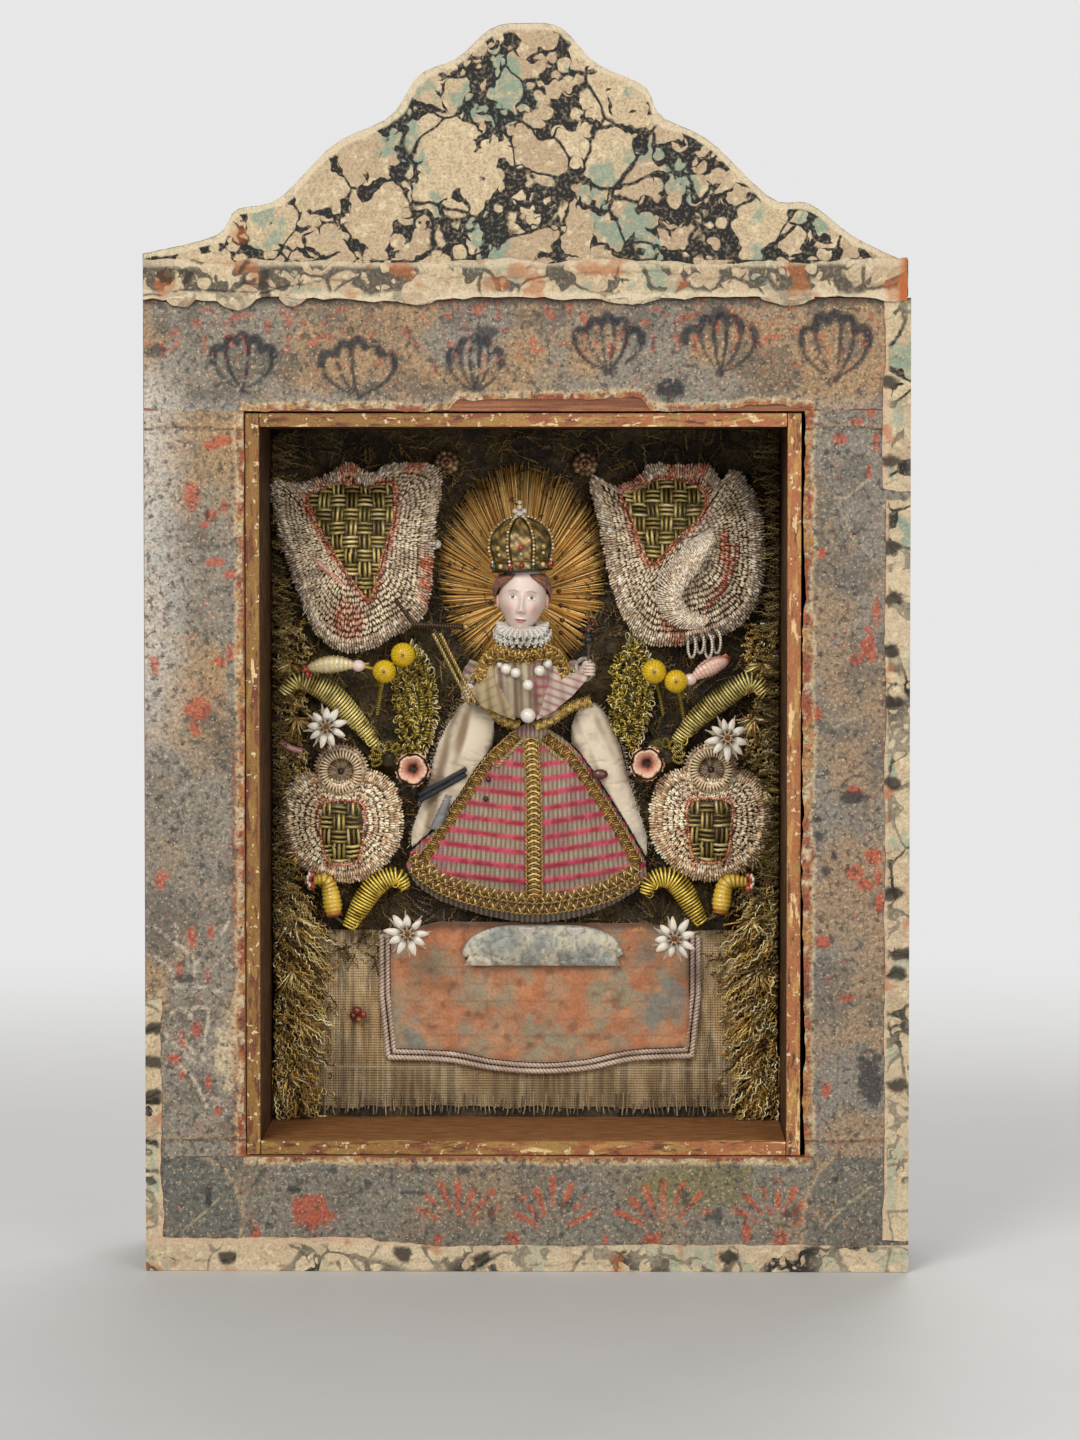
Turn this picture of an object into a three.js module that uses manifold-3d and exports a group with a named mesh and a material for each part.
// A devotional shadow box: a papered case with a scrolled pediment, and an inner tray that holds a dressed
// figure among flowers of wrapped wire. Millimetres, +Z up, the front faces -Y, the origin is the middle of
// the footprint. In the tray every height is measured forward from the face of its back board.
import * as THREE from 'three';
import { mergeVertices } from 'three/addons/utils/BufferGeometryUtils.js';
import Module from 'manifold-3d';

const wasm = await Module();
wasm.setup();

// Clearances
const SEAT = 0.3; // between a piece and the flat face that carries it
const DRAPE = 0.5; // under a trim that follows a rounded surface
const BESIDE = 0.6; // between soft pieces that lie side by side

// Case and face frame
const CASE_W = 230;
const CASE_H = 293;
const BOARD_T = 6;
const BACK_T = 5;
const FACE_T = 5;
const STILE_W = 30.2;
const TOP_RAIL_H = 33.8;
const BOTTOM_RAIL_H = 34.9;

// Inner tray
const NICHE_DEPTH = 52;
const TRAY_WALL_T = 4;
const TRAY_BACK_T = 3;
const TRAY_RECESS = 1; // the tray's front edges lie this far behind the face
const TRAY_RIGHT_GAP = 2.5;
const TRAY_TOP_GAP = 0.6;

// Pediment and paper edges
const PEDIMENT_H = 81.6;
const PEDIMENT_T = 7;
const HEM_H = 11; // the turned hem of the pediment's paper
const HEM_T = 1;
const STRIP_T = 0.6;
const STRIP_W = 8;
const STRIP_LEFT_W = 5;
const STRIP_LEFT_H = 83;
const STRIP_BOTTOM_H = 9;

// Panels and trims on the ground
const LINEN_T = 1.2;
const LINEN_LEFT_GAP = 4.3; // from the niche's left wall to the linen
const LINEN_RIGHT_GAP = 13.4;
const LINEN_H = 59; // in cells of the layout, as the label's width is
const LABEL_T = 2;
const LABEL_W = 94;
const CORD_W = 3.3;
const CORD_T = 1.8;
const BRAID_W = 4.8;
const HEM_BRAID_W = 8;
const BRAID_T = 1.4;

// Wire fringe
const FRINGE_W = 4.4;
const FRINGE_BACKING_T = 0.8;
const FRINGE_H = 152;
const STRANDS = 150; // in each column
const STRAND_R = 0.34;

// Figure
const HALO_RX = 27.3;
const HALO_RZ = 34.6;
const HALO_T = 1;
const HALO_RAYS = 40;
const HEAD_RX = 7.8;
const HEAD_RZ = 11;
const HEAD_LIFT = 14.2; // the head's middle, forward of the ground
const NECK_R = 3.6;
const CROWN_R = 8.8;
const CROWN_H = 19.5;
const CROWN_TILT = 0.05;
const RUFF_R = 9;
const RUFF_H = 7;
const RUFF_PLEATS = 18;
const FIGURE_X = -0.8; // the figure's middle line in the layout
const BODICE_TOP = 148.4;
const BODICE_HALF = 11.8; // half its width at the breast
const BODICE_EDGE = 6; // the height at which its side turns into its front
const BODICE_H = 17;
const SLEEVE_R = 3.2;
const HAND_R = 2.2;
const HAND_LIFT = 11.2;
const LEFT_HAND = [-17.8, 134.2];
const RIGHT_HAND = [19.8, 141.4];
const COLLAR_R = 1.2;
const STAFF_R = 0.8;
const SCEPTRE_R = 0.7;
const PEARL_R = 1.75;
const DROP_PEARL_R = 2.4;
const THREAD_R = 0.5;
const SKIRT_EDGE = 5;
const SKIRT_CROWN = 15.5;
const MANTLE_EDGE = 3.4;
const MANTLE_CROWN = 8.6;
const ROLL_R = 0.95;

// Flowers
const TULIP_EDGE = 7;
const TULIP_CROWN = 13.5;
const POMEGRANATE_EDGE = 6;
const POMEGRANATE_CROWN = 12;
const BERRY_R = 3.7;
const BERRY_LIFT = 15;
const BUD_LIFT = 13.5;
const STEM_R = 0.7;
const STAR_R = 7.6;
const STAR_PETALS = 8;
const STAR_LIFT = 17;
const TRUMPET_R = 5.4;
const TRUMPET_LIFT = 13;
const RING_R = 6.6;
const WEAVE_T = 1.1;
const LEAF_R = 2.8;

// The ornaments are laid out on a grid that fills the niche, in cells of about 1 mm
const GRID_COLUMNS = 160;
const GRID_ROWS = 216;

// Worked out from the sizes above
const DEPTH = HEM_T + NICHE_DEPTH + TRAY_BACK_T + SEAT + BACK_T;
const FACE_Y = HEM_T - DEPTH / 2;
const CASE_Y0 = FACE_Y + FACE_T + SEAT;
const BACK_Y = DEPTH / 2 - BACK_T;
const GROUND_Y = FACE_Y + NICHE_DEPTH;
const OPENING_X = CASE_W / 2 - STILE_W;
const OPENING_Z0 = BOTTOM_RAIL_H;
const OPENING_Z1 = CASE_H - TOP_RAIL_H;
const TRAY_X0 = -OPENING_X + SEAT;
const TRAY_X1 = OPENING_X - TRAY_RIGHT_GAP;
const TRAY_Z0 = OPENING_Z0 + SEAT;
const TRAY_Z1 = OPENING_Z1 - TRAY_TOP_GAP;
const NICHE_W = TRAY_X1 - TRAY_X0 - 2 * TRAY_WALL_T;
const NICHE_H = TRAY_Z1 - TRAY_Z0 - 2 * TRAY_WALL_T;
const NICHE_X = (TRAY_X0 + TRAY_X1) / 2;
const NICHE_Z0 = TRAY_Z0 + TRAY_WALL_T;
const CELL_X = NICHE_W / GRID_COLUMNS;
const CELL_Z = NICHE_H / GRID_ROWS;

const reliquary = new THREE.Group();
const panel = new THREE.Group();
panel.position.set(NICHE_X, GROUND_Y, NICHE_Z0);
reliquary.add(panel);

// Materials

const finish = (color, roughness, metalness = 0) => () =>
  new THREE.MeshStandardMaterial({ color, roughness, metalness });
const greyPaper = finish(0x7d7f80, 0.75);
const marbledPaper = finish(0xb5a486, 0.7);
const rawWood = finish(0x7a4f30, 0.8);
const gildedWood = finish(0x93602c, 0.55);
const mossGround = finish(0x37301c, 0.9);
const linen = finish(0x94835f, 0.9);
const parchment = finish(0xb5805a, 0.8);
const silverCord = finish(0xa38d7c, 0.6);
const satin = finish(0xa9b2ad, 0.5);
const gold = finish(0xa5782c, 0.4, 0.7);
const oliveGold = finish(0x8d7a2a, 0.5, 0.4);
const darkMetal = finish(0x2b2a2c, 0.5, 0.6);
const wax = finish(0xd9bdb0, 0.5);
const lace = finish(0xd8d2c8, 0.8);
const silk = finish(0xb09a90, 0.6);
const stripedSilk = finish(0x9c5560, 0.6);
const creamSatin = finish(0xc9c0ae, 0.5);
const pearl = finish(0xe8e0d4, 0.3);
const beads = finish(0xb8998a, 0.4);
const yellowGlaze = finish(0xdcb91e, 0.4);
const whitePetal = finish(0xd9d0c0, 0.6);

// Solids

/** A closed body through rings of points; a ring of one point is a pole, and open ends are capped. */
function loft(rings) {
  const capped = [...rings];
  const middle = (ring) => ring.reduce((sum, p) => sum.add(p), new THREE.Vector3()).divideScalar(ring.length);
  if (rings[0].length > 1) capped.unshift([middle(rings[0])]);
  if (rings.at(-1).length > 1) capped.push([middle(rings.at(-1))]);
  const points = capped.flat();
  const index = [];
  let start = 0;
  for (let i = 0; i + 1 < capped.length; i++) {
    const [low, high] = [capped[i], capped[i + 1]];
    const next = start + low.length;
    const count = Math.max(low.length, high.length);
    const lowAt = (k) => start + (k % count) % low.length;
    const highAt = (k) => next + (k % count) % high.length;
    for (let k = 0; k < count; k++) {
      if (low.length > 1) index.push(lowAt(k), lowAt(k + 1), highAt(k + 1));
      if (high.length > 1) index.push(lowAt(k), highAt(k + 1), highAt(k));
    }
    start = next;
  }
  const geometry = new THREE.BufferGeometry().setFromPoints(points);
  geometry.setIndex(volumeOf(points, index) < 0 ? index.reverse() : index);
  return geometry;
}

function volumeOf(points, index) {
  let volume = 0;
  for (let i = 0; i < index.length; i += 3) {
    const [a, b, c] = [points[index[i]], points[index[i + 1]], points[index[i + 2]]];
    volume += a.dot(b.clone().cross(c)) / 6;
  }
  return volume;
}

function toManifold(geometry) {
  const bare = geometry.clone();
  bare.deleteAttribute('normal');
  bare.deleteAttribute('uv');
  const merged = mergeVertices(bare, 1e-4);
  return new wasm.Manifold(new wasm.Mesh({
    numProp: 3,
    vertProperties: new Float32Array(merged.attributes.position.array),
    triVerts: new Uint32Array(merged.index.array),
  }));
}

function toGeometry(solid) {
  const mesh = solid.getMesh();
  const geometry = new THREE.BufferGeometry();
  geometry.setAttribute('position', new THREE.BufferAttribute(new Float32Array(mesh.vertProperties), 3));
  geometry.setIndex(new THREE.BufferAttribute(new Uint32Array(mesh.triVerts), 1));
  return geometry;
}

/** Joins geometries that run into each other. */
const fuse = (geometries) => toGeometry(geometries.map(toManifold).reduce((sum, part) => sum.add(part)));

/** Cuts the room that neighbours need out of a geometry. */
const clearOf = (geometry, rooms) =>
  toGeometry(rooms.map(toManifold).reduce((left, room) => left.subtract(room), toManifold(geometry)));

/** A point on the ground: x and z in cells of the layout, h forward of the ground. */
const spot = (x, z, h = 0) => new THREE.Vector3(x * CELL_X, -h, z * CELL_Z);

/** Layout points [x, z] as an outline; `steps` rounds it with a closed curve. */
function outlineOf(points, steps = 0) {
  const corners = points.map(([x, z]) => spot(x, z));
  return steps ? new THREE.CatmullRomCurve3(corners, true).getPoints(steps).slice(0, -1) : corners;
}

const ellipse = (rx, rz, count) => Array.from({ length: count }, (_, i) => {
  const a = (2 * Math.PI * i) / count;
  return new THREE.Vector3(rx * Math.cos(a), 0, rz * Math.sin(a));
});

const shifted = (geometry, { x, y, z }) => geometry.clone().translate(x, y, z);

/** Heights of a crowned relief, from its back to its middle: [share of the outline, height]. */
function crowned(back, edge, crown, steps, foot = 1) {
  const profile = [[0, back], [foot, back], [1, edge]];
  for (let i = steps - 1; i >= 0; i--) {
    const share = i / steps;
    profile.push([share, edge + (crown - edge) * (1 - share * share)]);
  }
  return profile;
}

/** An outline moved outward by a distance. */
function grown(outline, distance) {
  const turn = Math.sign(outline.reduce((sum, a, i) => {
    const b = outline[(i + 1) % outline.length];
    return sum + a.x * b.z - b.x * a.z;
  }, 0));
  return outline.map((p, i) => {
    const before = outline.at(i - 1);
    const after = outline[(i + 1) % outline.length];
    const normal = new THREE.Vector3(after.z - before.z, 0, before.x - after.x).setLength(turn * distance);
    return normal.add(p);
  });
}

/** The room round a relief, from behind the ground up to a height. */
const roomRound = (outline, height, middle) =>
  shifted(swell(grown(outline, BESIDE), [[0, -1], [1, -1], [1, height], [0, height]]), middle);

/** A relief whose outline shrinks and rises as its profile says; `lift` adds the height under it. */
function swell(outline, profile, lift = () => 0) {
  return loft(profile.map(([share, h]) => {
    const ring = share ? outline : [new THREE.Vector3()];
    return ring.map((p) => {
      const [x, z] = [p.x * share, p.z * share];
      return new THREE.Vector3(x, -h - lift(x, z), z);
    });
  }));
}

/** The height of a crowned relief's front above any point, in the relief's own frame. */
function frontOf(outline, profile) {
  const front = profile.slice(profile.findLastIndex(([share]) => share === 1));
  return (x, z) => {
    const share = shareOf(outline, x, z);
    if (share >= 1) return front[0][1];
    const i = front.findIndex(([s]) => s <= share);
    const [[s0, h0], [s1, h1]] = [front[i - 1], front[i]];
    return h0 + ((h1 - h0) * (s0 - share)) / (s0 - s1);
  };
}

/** How far (x, z) lies from the middle, as a share of the way to the outline. */
function shareOf(outline, x, z) {
  for (let i = 0; i < outline.length; i++) {
    const [a, b] = [outline[i], outline[(i + 1) % outline.length]];
    const turn = a.x * b.z - b.x * a.z;
    const u = (x * b.z - b.x * z) / turn;
    const v = (a.x * z - x * a.z) / turn;
    if (u >= 0 && v >= 0) return u + v;
  }
  return 0;
}

/** A round or oval bar along points, with a radius at each end and in the middle. */
function bar(points, radii, { sides = 6, steps = 8, flat = 1 } = {}) {
  const curve = new THREE.CatmullRomCurve3(points);
  const rings = [];
  for (let i = 0; i <= steps; i++) {
    const t = i / steps;
    const place = curve.getPointAt(t);
    const along = curve.getTangentAt(t);
    const front = Math.abs(along.y) > 0.95 ? new THREE.Vector3(0, 0, 1) : new THREE.Vector3(0, -1, 0);
    const side = new THREE.Vector3().crossVectors(along, front).normalize();
    const out = new THREE.Vector3().crossVectors(side, along).normalize();
    const f = t * (radii.length - 1);
    const k = Math.min(Math.floor(f), radii.length - 2);
    const radius = THREE.MathUtils.lerp(radii[k], radii[k + 1], f - k);
    rings.push(Array.from({ length: sides }, (_, j) => {
      const a = (2 * Math.PI * (j + 0.5)) / sides;
      return place.clone()
        .addScaledVector(side, radius * Math.cos(a))
        .addScaledVector(out, radius * flat * Math.sin(a));
    }));
  }
  return loft(rings);
}

/** A flat trim along layout points that lies on the surface `under`. */
function trim(points, width, thickness, under, steps) {
  const curve = new THREE.CatmullRomCurve3(points.map(([x, z]) => spot(x, z)));
  const rings = [];
  for (let i = 0; i <= steps; i++) {
    const place = curve.getPointAt(i / steps);
    const along = curve.getTangentAt(i / steps);
    const side = new THREE.Vector3(along.z, 0, -along.x).setLength(width / 2);
    const level = (share, rise) => {
      const p = place.clone().addScaledVector(side, share);
      p.y = -under(p.x, p.z) - rise;
      return p;
    };
    rings.push([level(-1, 0), level(0, 0), level(1, 0),
      level(1, thickness * 0.6), level(0, thickness), level(-1, thickness * 0.6)]);
  }
  return loft(rings);
}

/** A half-round body: each section is [z, middle x, half width, height], and its back is flat. */
function halfRound(sections, back, edge, steps = 8) {
  return loft(sections.map(([z, middle, half, h]) => {
    const ring = [spot(middle + half, z, back), spot(middle - half, z, back)];
    for (let i = 0; i <= steps; i++) {
      const a = Math.PI * (1 - i / steps);
      ring.push(spot(middle + half * Math.cos(a), z, edge + (h - edge) * Math.sin(a)));
    }
    return ring;
  }));
}

const ball = (r, place, width = 8, height = 6) =>
  shifted(new THREE.SphereGeometry(r, width, height).rotateX(Math.PI / 2), place);

function add(name, geometry, material, place, parent = panel) {
  const mesh = new THREE.Mesh(geometry, material());
  mesh.name = name;
  if (place) mesh.position.copy(place);
  parent.add(mesh);
  return mesh;
}

/** A board between two corners of the case's own frame. */
function board(name, material, [x0, x1], [y0, y1], [z0, z1]) {
  const middle = new THREE.Vector3((x0 + x1) / 2, (y0 + y1) / 2, (z0 + z1) / 2);
  add(name, new THREE.BoxGeometry(x1 - x0, y1 - y0, z1 - z0), material, middle, reliquary);
}

// Case and face frame

function buildCase() {
  const half = CASE_W / 2;
  const y = [CASE_Y0, BACK_Y - SEAT];
  const sideZ = [BOARD_T + SEAT, CASE_H - BOARD_T - SEAT];
  board('case_bottom', rawWood, [-half, half], y, [0, BOARD_T]);
  board('case_top', rawWood, [-half, half], y, [CASE_H - BOARD_T, CASE_H]);
  board('case_left', rawWood, [-half, -half + BOARD_T], y, sideZ);
  board('case_right', rawWood, [half - BOARD_T, half], y, sideZ);
  board('back_panel', rawWood, [-half, half], [BACK_Y, DEPTH / 2], [0, CASE_H]);
}

function buildFace() {
  const half = CASE_W / 2;
  const y = [FACE_Y, FACE_Y + FACE_T];
  const stileZ = [OPENING_Z0 + SEAT, OPENING_Z1 - SEAT];
  board('face_bottom_rail', greyPaper, [-half, half], y, [0, OPENING_Z0]);
  board('face_top_rail', greyPaper, [-half, half], y, [OPENING_Z1, CASE_H]);
  board('face_left_stile', greyPaper, [-half, -OPENING_X], y, stileZ);
  board('face_right_stile', greyPaper, [OPENING_X, half], y, stileZ);
}

function buildEdgeStrips() {
  const half = CASE_W / 2;
  const seat = SEAT / 2;
  const y = [FACE_Y - seat - STRIP_T, FACE_Y - seat];
  const sideZ0 = STRIP_BOTTOM_H + SEAT;
  board('edge_strip_bottom', marbledPaper, [-half, half], y, [0, STRIP_BOTTOM_H]);
  board('edge_strip_right', marbledPaper, [half - STRIP_W, half], y, [sideZ0, CASE_H - 2 * SEAT]);
  board('edge_strip_left', marbledPaper, [-half, -half + STRIP_LEFT_W], y, [sideZ0, STRIP_LEFT_H]);
}

function buildTray() {
  const y = [FACE_Y + TRAY_RECESS, BACK_Y - SEAT];
  const inner = [TRAY_X0 + TRAY_WALL_T + SEAT, TRAY_X1 - TRAY_WALL_T - SEAT];
  board('tray_left', gildedWood, [TRAY_X0, TRAY_X0 + TRAY_WALL_T], y, [TRAY_Z0, TRAY_Z1]);
  board('tray_right', gildedWood, [TRAY_X1 - TRAY_WALL_T, TRAY_X1], y, [TRAY_Z0, TRAY_Z1]);
  board('tray_bottom', gildedWood, inner, y, [TRAY_Z0, TRAY_Z0 + TRAY_WALL_T]);
  board('tray_top', gildedWood, inner, y, [TRAY_Z1 - TRAY_WALL_T, TRAY_Z1]);
  board('tray_back', mossGround, inner, [GROUND_Y, GROUND_Y + TRAY_BACK_T],
    [TRAY_Z0 + TRAY_WALL_T + SEAT, TRAY_Z1 - TRAY_WALL_T - SEAT]);
}

/** The scrolled board: corner, slope, lip, ogee, shoulder and dome, each side with its own hand-cut line. */
function buildPediment() {
  // Each point is [share of half the width, share of the height]
  const left = [[-1, 0.16], [-0.81, 0.225], [-0.755, 0.32], [-0.645, 0.36], [-0.5, 0.56], [-0.355, 0.66],
    [-0.28, 0.81], [-0.18, 0.873], [-0.09, 0.982]];
  const right = [[0.09, 0.982], [0.18, 0.853], [0.305, 0.77], [0.35, 0.66], [0.475, 0.57], [0.635, 0.36],
    [0.735, 0.34], [0.85, 0.22], [0.975, 0.135]];
  const toPoint = ([x, z]) => new THREE.Vector2((x * CASE_W) / 2, z * PEDIMENT_H);
  const curve = new THREE.SplineCurve([...left, [0, 1], ...right].map(toPoint));
  const outline = new THREE.Shape([
    new THREE.Vector2(-CASE_W / 2, 0),
    ...curve.getPoints(70),
    new THREE.Vector2(CASE_W / 2 - 1, HEM_H * 0.6),
    new THREE.Vector2(CASE_W / 2 - 1, 0),
  ]);
  const plank = new THREE.ExtrudeGeometry(outline, { depth: PEDIMENT_T, bevelEnabled: false });
  const hem = new THREE.BoxGeometry(CASE_W - 2, HEM_H, HEM_T + 1);
  hem.translate(0, HEM_H / 2, PEDIMENT_T + (HEM_T - 1) / 2);
  const geometry = fuse([plank, hem]).rotateX(Math.PI / 2);
  const place = new THREE.Vector3(0, FACE_Y + PEDIMENT_T, CASE_H + SEAT);
  add('pediment', geometry, marbledPaper, place, reliquary);
}

// Ground, label and fringe

const LINEN_FRONT = SEAT + LINEN_T;
const LABEL_FRONT = LINEN_FRONT + SEAT + LABEL_T;

/** The label: straight sides, a top that rises to two shoulders, and a lower edge with a sagging middle. */
function labelOutline(grow) {
  const half = LABEL_W / 2 + grow;
  const sag = [[-half, 22], [-28, 21.2], [-14, 18.6], [0, 17.6], [14, 18.6], [28, 21.6], [half, 22.6]];
  return { half, sag: sag.map(([x, z]) => [x, z - grow]) };
}

function buildPanels() {
  const middle = 4.5;
  const linenW = NICHE_W - LINEN_LEFT_GAP - LINEN_RIGHT_GAP;
  const linenPlate = new THREE.BoxGeometry(linenW, LINEN_T, LINEN_H * CELL_Z);
  const linenPlace = spot(0, SEAT + LINEN_H / 2, SEAT + LINEN_T / 2);
  linenPlace.x = (LINEN_LEFT_GAP - LINEN_RIGHT_GAP) / 2;
  add('linen_panel', linenPlate, linen, linenPlace);
  const { half, sag } = labelOutline(0);
  const lower = new THREE.SplineCurve(sag.map(([x, z]) => new THREE.Vector2(x * CELL_X, z * CELL_Z)));
  const upper = [[half, 58.5], [32, 61.8], [-32, 61.8], [-half, 58.5]];
  const outline = new THREE.Shape([...lower.getPoints(18),
    ...upper.map(([x, z]) => new THREE.Vector2(x * CELL_X, z * CELL_Z))]);
  const sheet = new THREE.ExtrudeGeometry(outline, { depth: LABEL_T, bevelEnabled: false });
  add('label_panel', sheet.rotateX(Math.PI / 2), parchment, spot(middle, 0, LINEN_FRONT + SEAT));

  const edge = labelOutline(SEAT + CORD_W / 2);
  const rim = edge.sag.map(([x, z]) => [x + middle, z]);
  const under = () => LINEN_FRONT + SEAT;
  const down = trim([[rim[0][0], 57], [rim[0][0], 40], [rim[0][0], 20.4]], CORD_W, CORD_T, under, 2);
  const along = trim(rim, CORD_W, CORD_T, under, 20);
  const up = trim([[rim.at(-1)[0], 21], [rim.at(-1)[0], 40], [rim.at(-1)[0], 57]], CORD_W, CORD_T, under, 2);
  add('label_cord', fuse([down, along, up]), silverCord);

  const mound = outlineOf([[-25, -4.5], [25, -4.5], [23, 1], [15, 4.6], [0, 5.4], [-15, 4.6], [-23, 1]], 24);
  const satinFront = crowned(LABEL_FRONT + SEAT, LABEL_FRONT + 1.2, LABEL_FRONT + 2.6, 3);
  add('pedestal', swell(mound, satinFront), satin, spot(5.3, 55.6));
}

/** A column of wire fringe on the linen: strands that stand on a slice of backing, lean inward and droop. */
function buildFringe(name, side) {
  const backing = new THREE.BoxGeometry(FRINGE_W, FRINGE_BACKING_T, FRINGE_H * CELL_Z);
  const parts = [backing];
  const perRow = 3;
  const rows = STRANDS / perRow;
  const pitch = (FRINGE_H * CELL_Z - 4) / (rows - 1);
  for (let row = 0; row < rows; row++) {
    for (let column = 0; column < perRow; column++) {
      const z = -FRINGE_H * CELL_Z / 2 + 3 + row * pitch + (column - 1) * pitch * 0.28;
      const x = (column - 1) * 1.4;
      const low = row < rows * 0.36;
      const reach = (low ? 8 : 1.6) * (0.8 + 0.2 * Math.sin(row * 0.4)) * (0.5 + 0.25 * column);
      const rise = low ? 4.6 + column : 2.2;
      const root = new THREE.Vector3(-side * x, 0, z);
      const tip = new THREE.Vector3(-side * (x + reach), -rise - FRINGE_BACKING_T, z - 1.2);
      const bend = root.clone().lerp(tip, 0.5).add(new THREE.Vector3(0, -rise * 0.35, 0.9));
      parts.push(strand([root, bend, tip]));
    }
  }
  const place = spot(0, 4 + FRINGE_H / 2, LINEN_FRONT + SEAT + FRINGE_BACKING_T / 2);
  place.x = side * (NICHE_W / 2 - FRINGE_W / 2 - SEAT);
  add(name, fuse(parts), oliveGold, place);
}

/** A three-sided strand through three points. */
function strand(points) {
  return loft(points.map((p, i) => Array.from({ length: 3 }, (_, j) => {
    const a = (2 * Math.PI * j) / 3;
    const r = STRAND_R * (1 - 0.25 * i);
    return p.clone().add(new THREE.Vector3(r * Math.cos(a), 0, r * Math.sin(a)));
  })));
}

// Dressed figure

const HALO_FRONT = SEAT + HALO_T;
const skirtMiddle = [1.5, 84];
const skirtOutline = outlineOf([[0, 40.5], [-7, 36.5], [-14.8, 28.6], [-28, 9], [-39, -3], [-34, -12],
  [-18, -18.8], [0, -22], [18, -19.5], [32, -13], [37, -7.5], [25.6, 15.4], [14.6, 31.5], [7, 37.5]], 34);
const skirtProfile = crowned(SEAT, SKIRT_EDGE, SKIRT_CROWN, 5);
const skirtFront = frontOf(skirtOutline, skirtProfile);

function onSkirt(x, z) {
  const [mx, mz] = skirtMiddle;
  return skirtFront(x - mx * CELL_X, z - mz * CELL_Z) + DRAPE;
}

function buildSkirt() {
  add('skirt', swell(skirtOutline, skirtProfile), stripedSilk, spot(...skirtMiddle));
  const centre = trim([[1.7, 120.5], [2.6, 104], [2.8, 88], [2.9, 70]], BRAID_W, BRAID_T, onSkirt, 14);
  const hem = trim([[-34.5, 80.6], [-27, 75.8], [-15, 71.6], [2.8, 69], [19, 71.2], [28, 74], [34.3, 77.6]],
    HEM_BRAID_W, BRAID_T, onSkirt, 22);
  add('braid_front', fuse([centre, hem]), gold);
  const left = [[-2.4, 120.4], [-6, 117], [-11.6, 111.2], [-24.6, 92], [-28.8, 85.6]];
  const right = [[6, 120], [9.4, 117.2], [14.2, 113], [24.8, 97.6], [32.6, 84.4]];
  add('braid_left', trim(left, BRAID_W - 1, BRAID_T, onSkirt, 14), gold);
  add('braid_right', trim(right, BRAID_W - 1, BRAID_T, onSkirt, 14), gold);
}

const mantleProfile = crowned(SEAT, MANTLE_EDGE, MANTLE_CROWN, 4);
const mantleOutline = outlineOf([[8.5, 23.6], [3, 24.4], [-5, 12], [-8.4, -2], [-14.5, -22], [-9, -24],
  [4, -10], [10, 6], [11.5, 16.5]], 22);
const mantleMiddle = [-21.5, 107];
const mantleMiddleRight = [25, 105.6];
const mantleMirrored = mantleOutline.map((p) => new THREE.Vector3(-p.x * 0.92, 0, p.z));
const mantleFront = frontOf(mantleOutline, mantleProfile);
const mantleRooms = [
  roomRound(mantleOutline, MANTLE_CROWN + SEAT, spot(...mantleMiddle)),
  roomRound(mantleMirrored, MANTLE_CROWN + SEAT, spot(...mantleMiddleRight)),
];

function buildMantle() {
  const skirtRoom = roomRound(skirtOutline, 2 * MANTLE_CROWN, spot(...skirtMiddle));
  const side = (outline, middle) =>
    clearOf(shifted(swell(outline, mantleProfile), spot(...middle)), [skirtRoom]);
  add('mantle_left', side(mantleOutline, mantleMiddle), creamSatin);
  add('mantle_right', side(mantleMirrored, mantleMiddleRight), creamSatin);
  const surface = (x, z) => {
    const p = spot(x, z).sub(spot(...mantleMiddle));
    return mantleFront(p.x, p.z) + DRAPE;
  };
  const [from, to] = [[-33.2, 101.2], [-18.4, 109.4]];
  const along = (t) => [from[0] + (to[0] - from[0]) * t, from[1] + (to[1] - from[1]) * t];
  const rise = ROLL_R + 0.2 + Math.max(...[0, 0.25, 0.5, 0.75, 1].map((t) => surface(...along(t))));
  const apart = new THREE.Vector3(0, 0, ROLL_R * 0.95);
  const roll = (side) => {
    const ends = [from, to].map((p) => spot(...p, rise).addScaledVector(apart, side));
    return bar(ends, [ROLL_R, ROLL_R], { steps: 1 });
  };
  add('wire_rolls', fuse([roll(-1), roll(1)]), darkMetal);
}

// Sections of the bodice from the waist to the neck: [z, middle, half width, height]
const bodiceSections = [
  [BODICE_TOP - 22, FIGURE_X + 1.6, BODICE_HALF * 0.72, BODICE_H - 5],
  [BODICE_TOP - 17.4, FIGURE_X + 1.2, BODICE_HALF * 0.8, BODICE_H - 3],
  [BODICE_TOP - 10.4, FIGURE_X, BODICE_HALF, BODICE_H],
  [BODICE_TOP - 4, FIGURE_X, BODICE_HALF * 0.97, BODICE_H],
  [BODICE_TOP, FIGURE_X, BODICE_HALF * 0.73, BODICE_H - 0.6],
];

/** The front of the bodice at its widest part. */
const onBodice = (x) => {
  const share = Math.min(1, Math.abs(x - FIGURE_X * CELL_X) / (BODICE_HALF * CELL_X));
  return BODICE_EDGE + (BODICE_H - BODICE_EDGE) * Math.sqrt(1 - share * share) + DRAPE;
};

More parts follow.
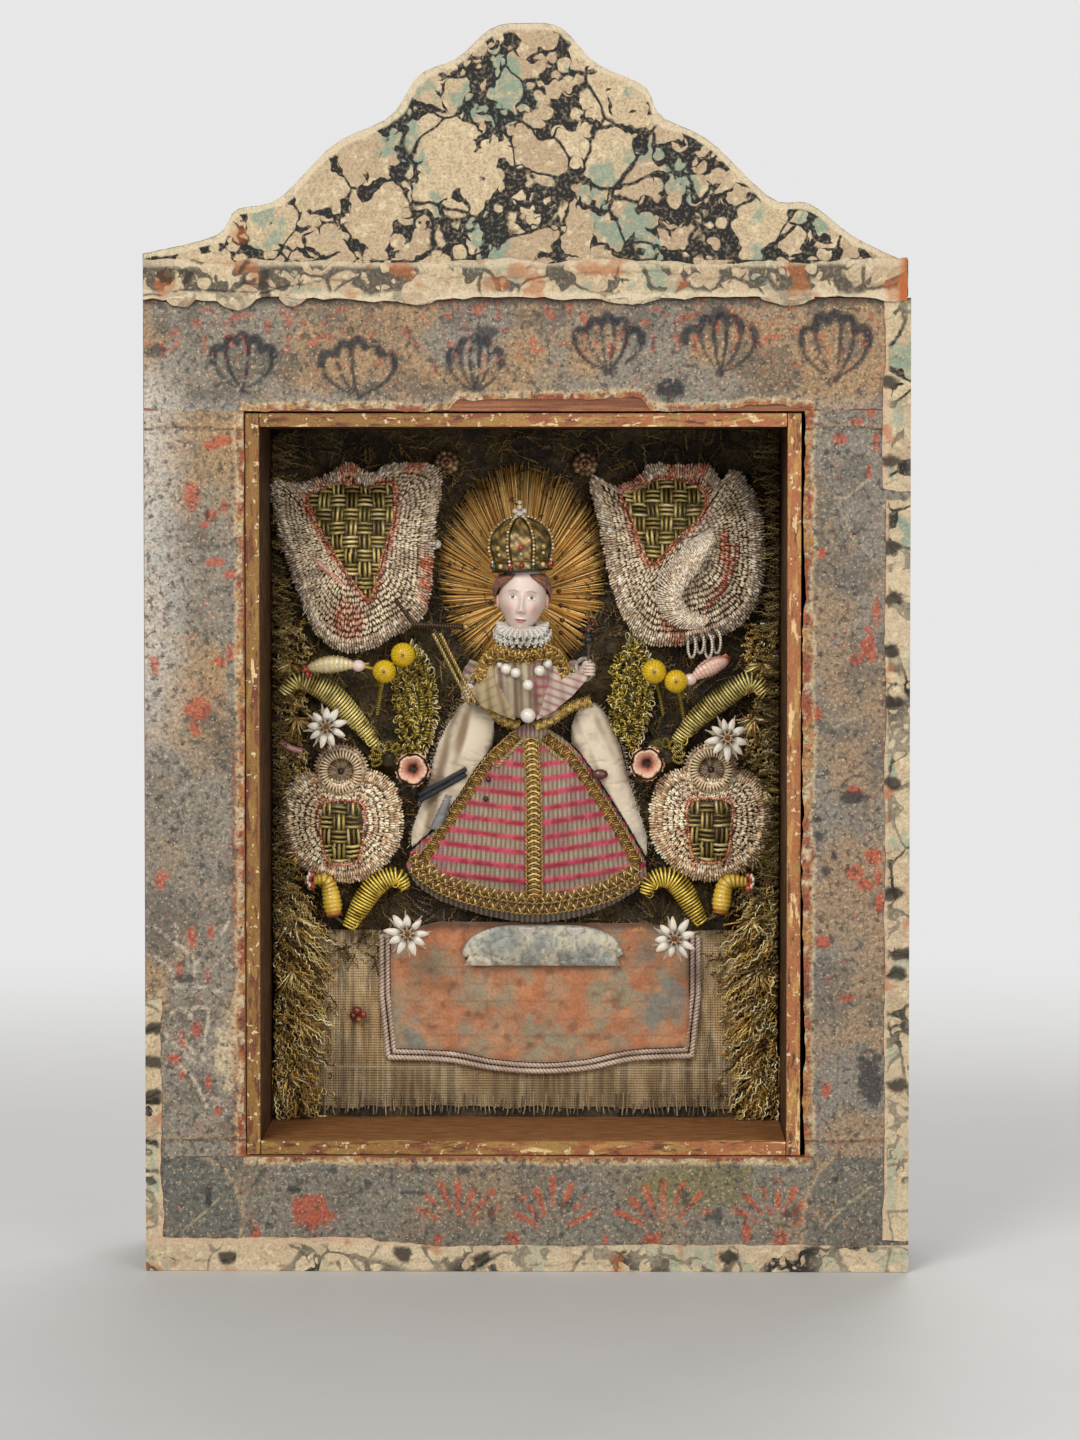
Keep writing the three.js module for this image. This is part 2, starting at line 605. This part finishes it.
function buildBody() {
  add('bodice', halfRound(bodiceSections, HALO_FRONT + SEAT, BODICE_EDGE), silk);
  const collar = [[-14, 138.4], [-12, 143.6], [-8, 147.4], [-1, 146.8], [6.4, 147.6], [10.4, 144],
    [12.4, 138.4]];
  const path = collar.map(([x, z]) => spot(x, z, COLLAR_R + DRAPE + Math.max(onBodice(spot(x, z).x), 11)));
  add('shoulder_braid', bar(path, [COLLAR_R, COLLAR_R], { steps: 22 }), gold);

  // Each arm starts against the bodice's side and ends in a closed hand
  const arm = (side, hand) => {
    const shoulder = spot(FIGURE_X + side * (BODICE_HALF + SLEEVE_R * 0.65 + SEAT), BODICE_TOP - 6.2, 7.5);
    const elbow = shoulder.clone().add(new THREE.Vector3(side * 2.2, -1.5, -3.2));
    const wrist = spot(...hand, HAND_LIFT);
    return fuse([
      bar([shoulder, elbow, wrist], [SLEEVE_R, SLEEVE_R * 0.94, HAND_R], { steps: 5, sides: 8 }),
      ball(HAND_R, wrist),
    ]);
  };
  add('sleeve_left', arm(-1, LEFT_HAND), silk);
  add('sleeve_right', arm(1, RIGHT_HAND), silk);

  const grip = HAND_LIFT + HAND_R + SEAT + STAFF_R;
  const [rx, rz] = RIGHT_HAND;
  add('sceptre', fuse([
    bar([spot(rx, rz - 2.4, grip), spot(rx, rz + 14.1, grip)], [SCEPTRE_R, SCEPTRE_R], { steps: 1 }),
    ball(SCEPTRE_R + 0.8, spot(rx, rz + 9.1, grip)),
  ]), darkMetal);
  const [lx, lz] = LEFT_HAND;
  const at = (x, z, h = grip + 1) => spot(lx + x, lz + z, h);
  add('cross_staff', fuse([
    bar([at(3.3, -4.2, grip), at(-9.2, 17.3, grip), at(-12.2, 22.3)], [STAFF_R, STAFF_R], { steps: 3 }),
    bar([at(-17.6, 21.3), at(-1.2, 20.4)], [STAFF_R * 1.5, STAFF_R * 1.5], { steps: 1 }),
    bar([at(-16.6, 21.1), at(-22.6, 29)], [STAFF_R * 1.1, STAFF_R * 1.1], { steps: 1 }),
  ]), darkMetal);
}

function buildHead() {
  const chin = BODICE_TOP + 4.4;
  const middle = spot(FIGURE_X, chin + HEAD_RZ, HEAD_LIFT);
  const neckBase = BODICE_TOP + SEAT;
  const skull = new THREE.SphereGeometry(1, 14, 10).scale(HEAD_RX, HEAD_RX * 1.08, HEAD_RZ);
  const neck = new THREE.CylinderGeometry(NECK_R, NECK_R, 7, 12).rotateX(Math.PI / 2);
  const nose = new THREE.ConeGeometry(1.2, 3.8, 5).rotateX(Math.PI / 2);
  nose.rotateX(-0.32).translate(0, -HEAD_RX * 1.05, -HEAD_RZ * 0.18);
  const lift = neckBase * CELL_Z + 3.5 - middle.z;
  neck.translate(0, 0, lift);
  add('head', fuse([skull, neck, nose, hair()]), wax, middle);
  const crownBase = middle.z + HEAD_RZ - 2.9;
  buildCrown(new THREE.Vector3(middle.x, middle.y, crownBase));
  buildRuff(new THREE.Vector3(middle.x, middle.y, neckBase * CELL_Z + SEAT + RUFF_H / 2));
}

/** Hair: two swells beside the temples, kept behind the face. */
function hair() {
  const lock = (side) => new THREE.SphereGeometry(1, 8, 6).scale(2.2, 5, 6)
    .translate(side * (HEAD_RX - 1.4), 2.4, HEAD_RZ * 0.12);
  const nape = new THREE.SphereGeometry(1, 10, 8).scale(HEAD_RX, 6, 8).translate(0, 3, 1.4);
  return fuse([lock(-1), nape, lock(1)]);
}

/** A closed crown: a band that seats round the hair, a swelling cap with ribs, and a ball with a cross. */
function buildCrown(place) {
  const ribs = 8;
  const profile = [[0, 3.2], [0.82, 3.2], [0.84, 0], [0.98, 0], [1, 3.4], [1.12, 8], [0.98, 12.4],
    [0.5, CROWN_H - 3.9], [0.14, CROWN_H - 3.1], [0.2, CROWN_H - 1.7], [0, CROWN_H]];
  const rings = profile.map(([share, z]) => {
    if (!share) return [new THREE.Vector3(0, 0, z)];
    return Array.from({ length: 2 * ribs }, (_, i) => {
      const a = (Math.PI * i) / ribs;
      const rib = z > 3.4 && z < 16 && i % 2 ? 0.93 : 1;
      const r = CROWN_R * share * rib;
      return new THREE.Vector3(r * Math.cos(a), r * Math.sin(a), z);
    });
  });
  const cross = [new THREE.BoxGeometry(0.9, 0.9, 4.4).translate(0, 0, CROWN_H + 1),
    new THREE.BoxGeometry(2.8, 0.9, 0.9).translate(0, 0, CROWN_H + 1.7)];
  add('crown', fuse([loft(rings), ...cross]), gold, place).rotation.y = -CROWN_TILT;
}

/** A pleated ring of lace that lies on the shoulders round the neck. */
function buildRuff(place) {
  const inner = NECK_R + BESIDE;
  const ring = (z, r, wave) => Array.from({ length: 2 * RUFF_PLEATS }, (_, i) => {
    const a = (Math.PI * i) / RUFF_PLEATS;
    const out = r * (i % 2 ? 1 - wave : 1);
    return new THREE.Vector3(out * Math.cos(a), out * Math.sin(a), z);
  });
  const half = RUFF_H / 2;
  const levels = [[-half, 0.8, 0.04], [0, 1, 0.08], [half, 0.94, 0.08]];
  const body = loft(levels.map(([z, share, wave]) => ring(z, RUFF_R * share, wave)));
  const bore = new THREE.CylinderGeometry(inner, inner, 3 * RUFF_H, 16).rotateX(Math.PI / 2);
  const skullGap = new THREE.SphereGeometry(1, 16, 12)
    .scale(HEAD_RX + BESIDE, HEAD_RX * 1.08 + BESIDE, HEAD_RZ + BESIDE);
  const headMiddle = (BODICE_TOP + 4.4 + HEAD_RZ) * CELL_Z - place.z;
  add('ruff', clearOf(body, [bore, skullGap.translate(0, 0, headMiddle)]), lace, place);
}

function buildHalo() {
  const outline = Array.from({ length: 2 * HALO_RAYS }, (_, i) => {
    const a = (Math.PI * i) / HALO_RAYS;
    const reach = i % 2 ? 0.62 : 1 - 0.05 * (i % 4 ? 1 : 0);
    return new THREE.Vector3(HALO_RX * reach * Math.cos(a), 0, HALO_RZ * reach * Math.sin(a));
  });
  const flat = [[0, SEAT], [1, SEAT], [1, HALO_FRONT], [0, HALO_FRONT]];
  add('halo', swell(outline, flat), gold, spot(-1, 171.8));
}

function buildPearls() {
  const places = [[7, 143.4], [4.6, 141.2], [1, 136.8], [-2.8, 140.6], [-5.8, 141.8]];
  const pearlAt = ([x, z], r) => spot(x, z, onBodice(spot(x, z).x) + r);
  const beadsOnThread = places.map((p) => ball(PEARL_R, pearlAt(p, PEARL_R)));
  const drop = [1, 127.4];
  const thread = (from, to) => bar([from, to], [THREAD_R, THREAD_R], { steps: 1, sides: 4 });
  const threads = places.slice(1).map((p, i) =>
    thread(pearlAt(places[i], PEARL_R), pearlAt(p, PEARL_R)));
  const dropPlace = pearlAt(drop, DROP_PEARL_R);
  threads.push(thread(pearlAt(places[2], PEARL_R), dropPlace));
  add('pearl_string', fuse([...beadsOnThread, ball(DROP_PEARL_R, dropPlace), ...threads]), pearl);
}

// Flowers

/** A large cup flower padded over its foot, with a woven panel laid on its front. */
function buildTulip(name, place, points, weavePoints, weavePlace, petal) {
  const outline = outlineOf(points, 34);
  const profile = crowned(SEAT, TULIP_EDGE, TULIP_CROWN, 5, 0.62);
  const body = swell(outline, profile);
  const flower = petal ? fuse([body, petal]) : body;
  add(name, flower, beads, spot(...place));
  addWeave(name + '_weave', flower, frontOf(outline, profile), outlineOf(weavePoints), weavePlace, place);
}

/** A woven panel: a thin sheet cut so that its back follows the front of the flower that carries it. */
function addWeave(name, carrier, front, outline, middle, place) {
  const away = spot(...middle);
  const lift = (x, z) => front(x + away.x, z + away.z);
  const top = SEAT + WEAVE_T;
  const sheet = [[0, -0.5], [0.5, -0.5], [1, -0.5], [1, top - WEAVE_T * 0.3], [0.5, top], [0, top]];
  const room = shifted(carrier, spot(0, 0, SEAT));
  add(name, clearOf(shifted(swell(outline, sheet, lift), away), [room]), oliveGold, spot(...place));
}

function buildTulips() {
  buildTulip('tulip_left', [-52, 177],
    [[-26, 22], [-19, 20.8], [-10, 23], [-3.4, 27], [3, 23.3], [9.4, 26.7], [23.6, 25], [22, 8], [19.5, -16],
      [9.3, -24.3], [2, -28], [-6.6, -28], [-14, -21], [-20.8, -2], [-24.5, 10]],
    [[-14, 9], [-5, 13.6], [4, 12.2], [12.2, 13.2], [13, 3], [9.4, -9], [5.6, -22], [0.6, -17], [-9, -2]],
    [-2, 8.4]);
  const top = TULIP_CROWN;
  const curl = [[11, 6, -1.5], [4, -2, 0.5], [-2.4, -11, 1], [1, -19, -1.5], [9, -21, -3]];
  const curlPath = curl.map(([x, z, rise]) => spot(x, z, top + rise));
  const roll = bar(curlPath, [1.6, 4, 4.2, 3.4, 1.6], { steps: 9, flat: 0.6 });
  buildTulip('tulip_right', [47.6, 177],
    [[-25.7, 23], [-18.5, 20], [-11, 23], [-7.7, 26.6], [1.6, 25.8], [9, 26.3], [13, 21.3], [17, 25],
      [23.6, 15], [25.4, 1.5], [24.3, -11], [20, -19], [11, -24.2], [-2.7, -26.7], [-9.5, -25.5],
      [-14.8, -20], [-19.4, -8], [-22.4, 7.4]],
    [[-14, 7.5], [-7, 11.2], [1, 12.2], [9, 10.2], [12, 6], [10, 0], [2.6, -6.6], [-4.4, -14], [-8, -8],
      [-11.6, 2]],
    [-3.4, 11.2], roll);
}

/** Two padded lobes with a woven panel between them and a ring button on top. */
function buildPomegranate(name, place, side) {
  const lobes = [[0, 12.6], [7.5, 16], [14.5, 13.2], [17.4, 4.6], [16.4, -5.4], [10, -13], [3, -15.8],
    [-6, -14.6], [-14, -9], [-17.4, 1], [-16, 9.8], [-9.5, 15.6]];
  const outline = outlineOf(lobes.map(([x, z]) => [x * side, z]), 26);
  const profile = crowned(SEAT, POMEGRANATE_EDGE, POMEGRANATE_CROWN, 4, 0.62);
  const foot = POMEGRANATE_EDGE - 1;
  const button = [[0, 0], [0.9, 0], [1, 4], [0.86, 5.4], [0.68, 5], [0.6, 3.6], [0, 3.4]];
  const ring = shifted(swell(ellipse(RING_R, RING_R, 16), button), spot(0, 17.4, foot));
  const body = swell(outline, profile);
  add(name, fuse([body, ring]), beads, spot(...place));
  const patch = outlineOf([[-6, 9], [6, 9], [6.6, 0], [4.4, -9], [-4.4, -9], [-6.6, 0]]);
  addWeave(name + '_weave', body, frontOf(outline, profile), patch, [0.5 * side, -1.5], place);
}

/** A star of long petals on a wire stem, which stands on the ground or on the label. */
function buildStar(name, place, turn, onLabel = false) {
  const outline = Array.from({ length: 4 * STAR_PETALS }, (_, i) => {
    const a = turn + (Math.PI * i) / (2 * STAR_PETALS);
    const r = STAR_R * [1, 0.62, 0.3, 0.62][i % 4];
    return new THREE.Vector3(r * Math.cos(a), 0, r * Math.sin(a));
  });
  const foot = SEAT + (onLabel ? LABEL_FRONT : 0);
  const profile = [[0, foot], [0.16, foot], [0.16, STAR_LIFT - 1.4], [1, STAR_LIFT], [0.4, STAR_LIFT + 1.4],
    [0, STAR_LIFT + 1.6]];
  add(name, swell(outline, profile), whitePetal, spot(...place));
}

/** A spray: an upright scalloped leaf, an arched leaf, a low fan and a trumpet flower on one stem. */
function buildSpray(name, side, upright, arch, trumpet) {
  const place = (x, z, h = 0) => spot(side * x, z, h);
  const leaf = outlineOf(upright.points.map(([x, z]) => [side * x, z]), 20);
  const leafBody = shifted(swell(leaf, crowned(SEAT, 2.4, 6.4, 3, 0.8)), place(...upright.middle));
  const heights = [7, 6.6, 5.6, 4.4, 3.4];
  const archPath = arch.map(([x, z], i) => place(x, z, heights[i]));
  const archBody = bar(archPath, [1.2, LEAF_R, LEAF_R, 1.6], { steps: 9, sides: 7 });
  const fan = shifted(swell(ellipse(7, 6, 10), crowned(SEAT, 2.2, 5, 2)), place(...upright.fan));
  const bell = [[0, SEAT], [0.34, SEAT], [0.3, TRUMPET_LIFT - 6], [1, TRUMPET_LIFT - 1], [0.92, TRUMPET_LIFT],
    [0.3, TRUMPET_LIFT - 4], [0, TRUMPET_LIFT - 4.4]];
  const flower = shifted(swell(ellipse(TRUMPET_R, TRUMPET_R, 10), bell), place(...trumpet));
  const stem = (from, to) => bar([place(...from, 2), place(...to, 2)], [STEM_R, STEM_R], { steps: 1 });
  const stems = [stem(upright.fan, trumpet), stem(upright.fan, upright.middle)];
  add(name, clearOf(fuse([leafBody, archBody, fan, flower, ...stems]), mantleRooms), oliveGold);
}

/** A low arched leaf with a curled bud wired to it. */
function buildLowerLeaf(name, side, arch, bud) {
  const place = ([x, z], h) => spot(side * x, z, h);
  const h = LABEL_FRONT + LEAF_R + 1;
  const curl = bar(bud.map((p) => place(p, h + 1)), [1.2, 2.6, 1.6], { steps: 7 });
  add(name, fuse([
    bar(arch.map((p) => place(p, h)), [1.4, LEAF_R, LEAF_R, 1.6], { steps: 9, sides: 7 }),
    curl,
    bar([place(arch[0], h), place(bud.at(-1), h + 1)], [STEM_R, STEM_R], { steps: 1 }),
    bar([place(arch[2], h), place(arch[2], SEAT)], [1.1, 1.1], { steps: 1 }),
  ]), oliveGold);
}

/** Two berries and a closed bud on wires that spring from the ground. */
function buildSprig(name, side, berries, bud) {
  const [first, second] = berries.map(([x, z]) => spot(side * x, z, BERRY_LIFT));
  const root = spot(side * (Math.abs(berries[1][0]) + 3), berries[1][1] - 5, SEAT);
  const [tip, tail] = bud.map(([x, z]) => spot(side * x, z, BUD_LIFT));
  add(name, fuse([
    ball(BERRY_R, first, 10, 8),
    ball(BERRY_R * 0.96, second, 10, 8),
    bar([first, second], [STEM_R, STEM_R], { steps: 1 }),
    bar([root, second], [STEM_R, STEM_R], { steps: 1 }),
    bar([tip, tip.clone().lerp(tail, 0.5), tail], [0.7, 2.6, 1], { steps: 6 }),
    bar([tail, second], [STEM_R, STEM_R], { steps: 1 }),
  ]), yellowGlaze);
}

function buildFlowers() {
  buildTulips();
  buildPomegranate('pomegranate_left', [-57.8, 92], 1);
  buildPomegranate('pomegranate_right', [58.2, 92.6], -1);
  const leaf = [[0, 20], [5, 13], [6, 4], [4, -8], [0, -16], [-5.6, -10], [-7, 2], [-5, 13]];
  buildSpray('spray_left', -1, { points: leaf, middle: [35.6, 128.5], fan: [43, 113.5] },
    [[76, 133.5], [71, 138.2], [62, 134], [54, 126], [47, 117]], [35.2, 110.2]);
  buildSpray('spray_right', 1, { points: leaf, middle: [33.4, 131.5], fan: [44, 114.5] },
    [[75.4, 133.4], [70.6, 137.6], [62, 132.4], [54, 126], [47, 118]], [38, 112]);
  buildLowerLeaf('lower_leaf_left', -1, [[55.6, 60.5], [48, 72.6], [40.6, 76.6], [37.4, 72.4]],
    [[66.4, 75.4], [62, 74.6], [60, 64]]);
  buildLowerLeaf('lower_leaf_right', 1, [[55.4, 62], [47, 75], [40, 75.4], [37.4, 70.6]],
    [[69.6, 75], [63, 74.4], [61, 65]]);
  buildSprig('sprig_left', -1, [[38, 146], [43.8, 140.8]], [[68.6, 141.6], [52.6, 142.8]]);
  buildSprig('sprig_right', 1, [[40.2, 140.8], [47, 137.8]], [[63.6, 144.4], [52, 138.6]]);
  buildStar('star_flower_left_upper', [-61.8, 123.8], 0.2);
  buildStar('star_flower_right_upper', [63, 120.4], 0.45);
  buildStar('star_flower_left_lower', [-36.6, 59.4], 0.1, true);
  buildStar('star_flower_right_lower', [46.6, 58], 0.3, true);
}

buildCase();
buildFace();
buildEdgeStrips();
buildTray();
buildPediment();
buildPanels();
buildFringe('fringe_left', -1);
buildFringe('fringe_right', 1);
buildHalo();
buildSkirt();
buildMantle();
buildBody();
buildHead();
buildPearls();
buildFlowers();

export default reliquary;
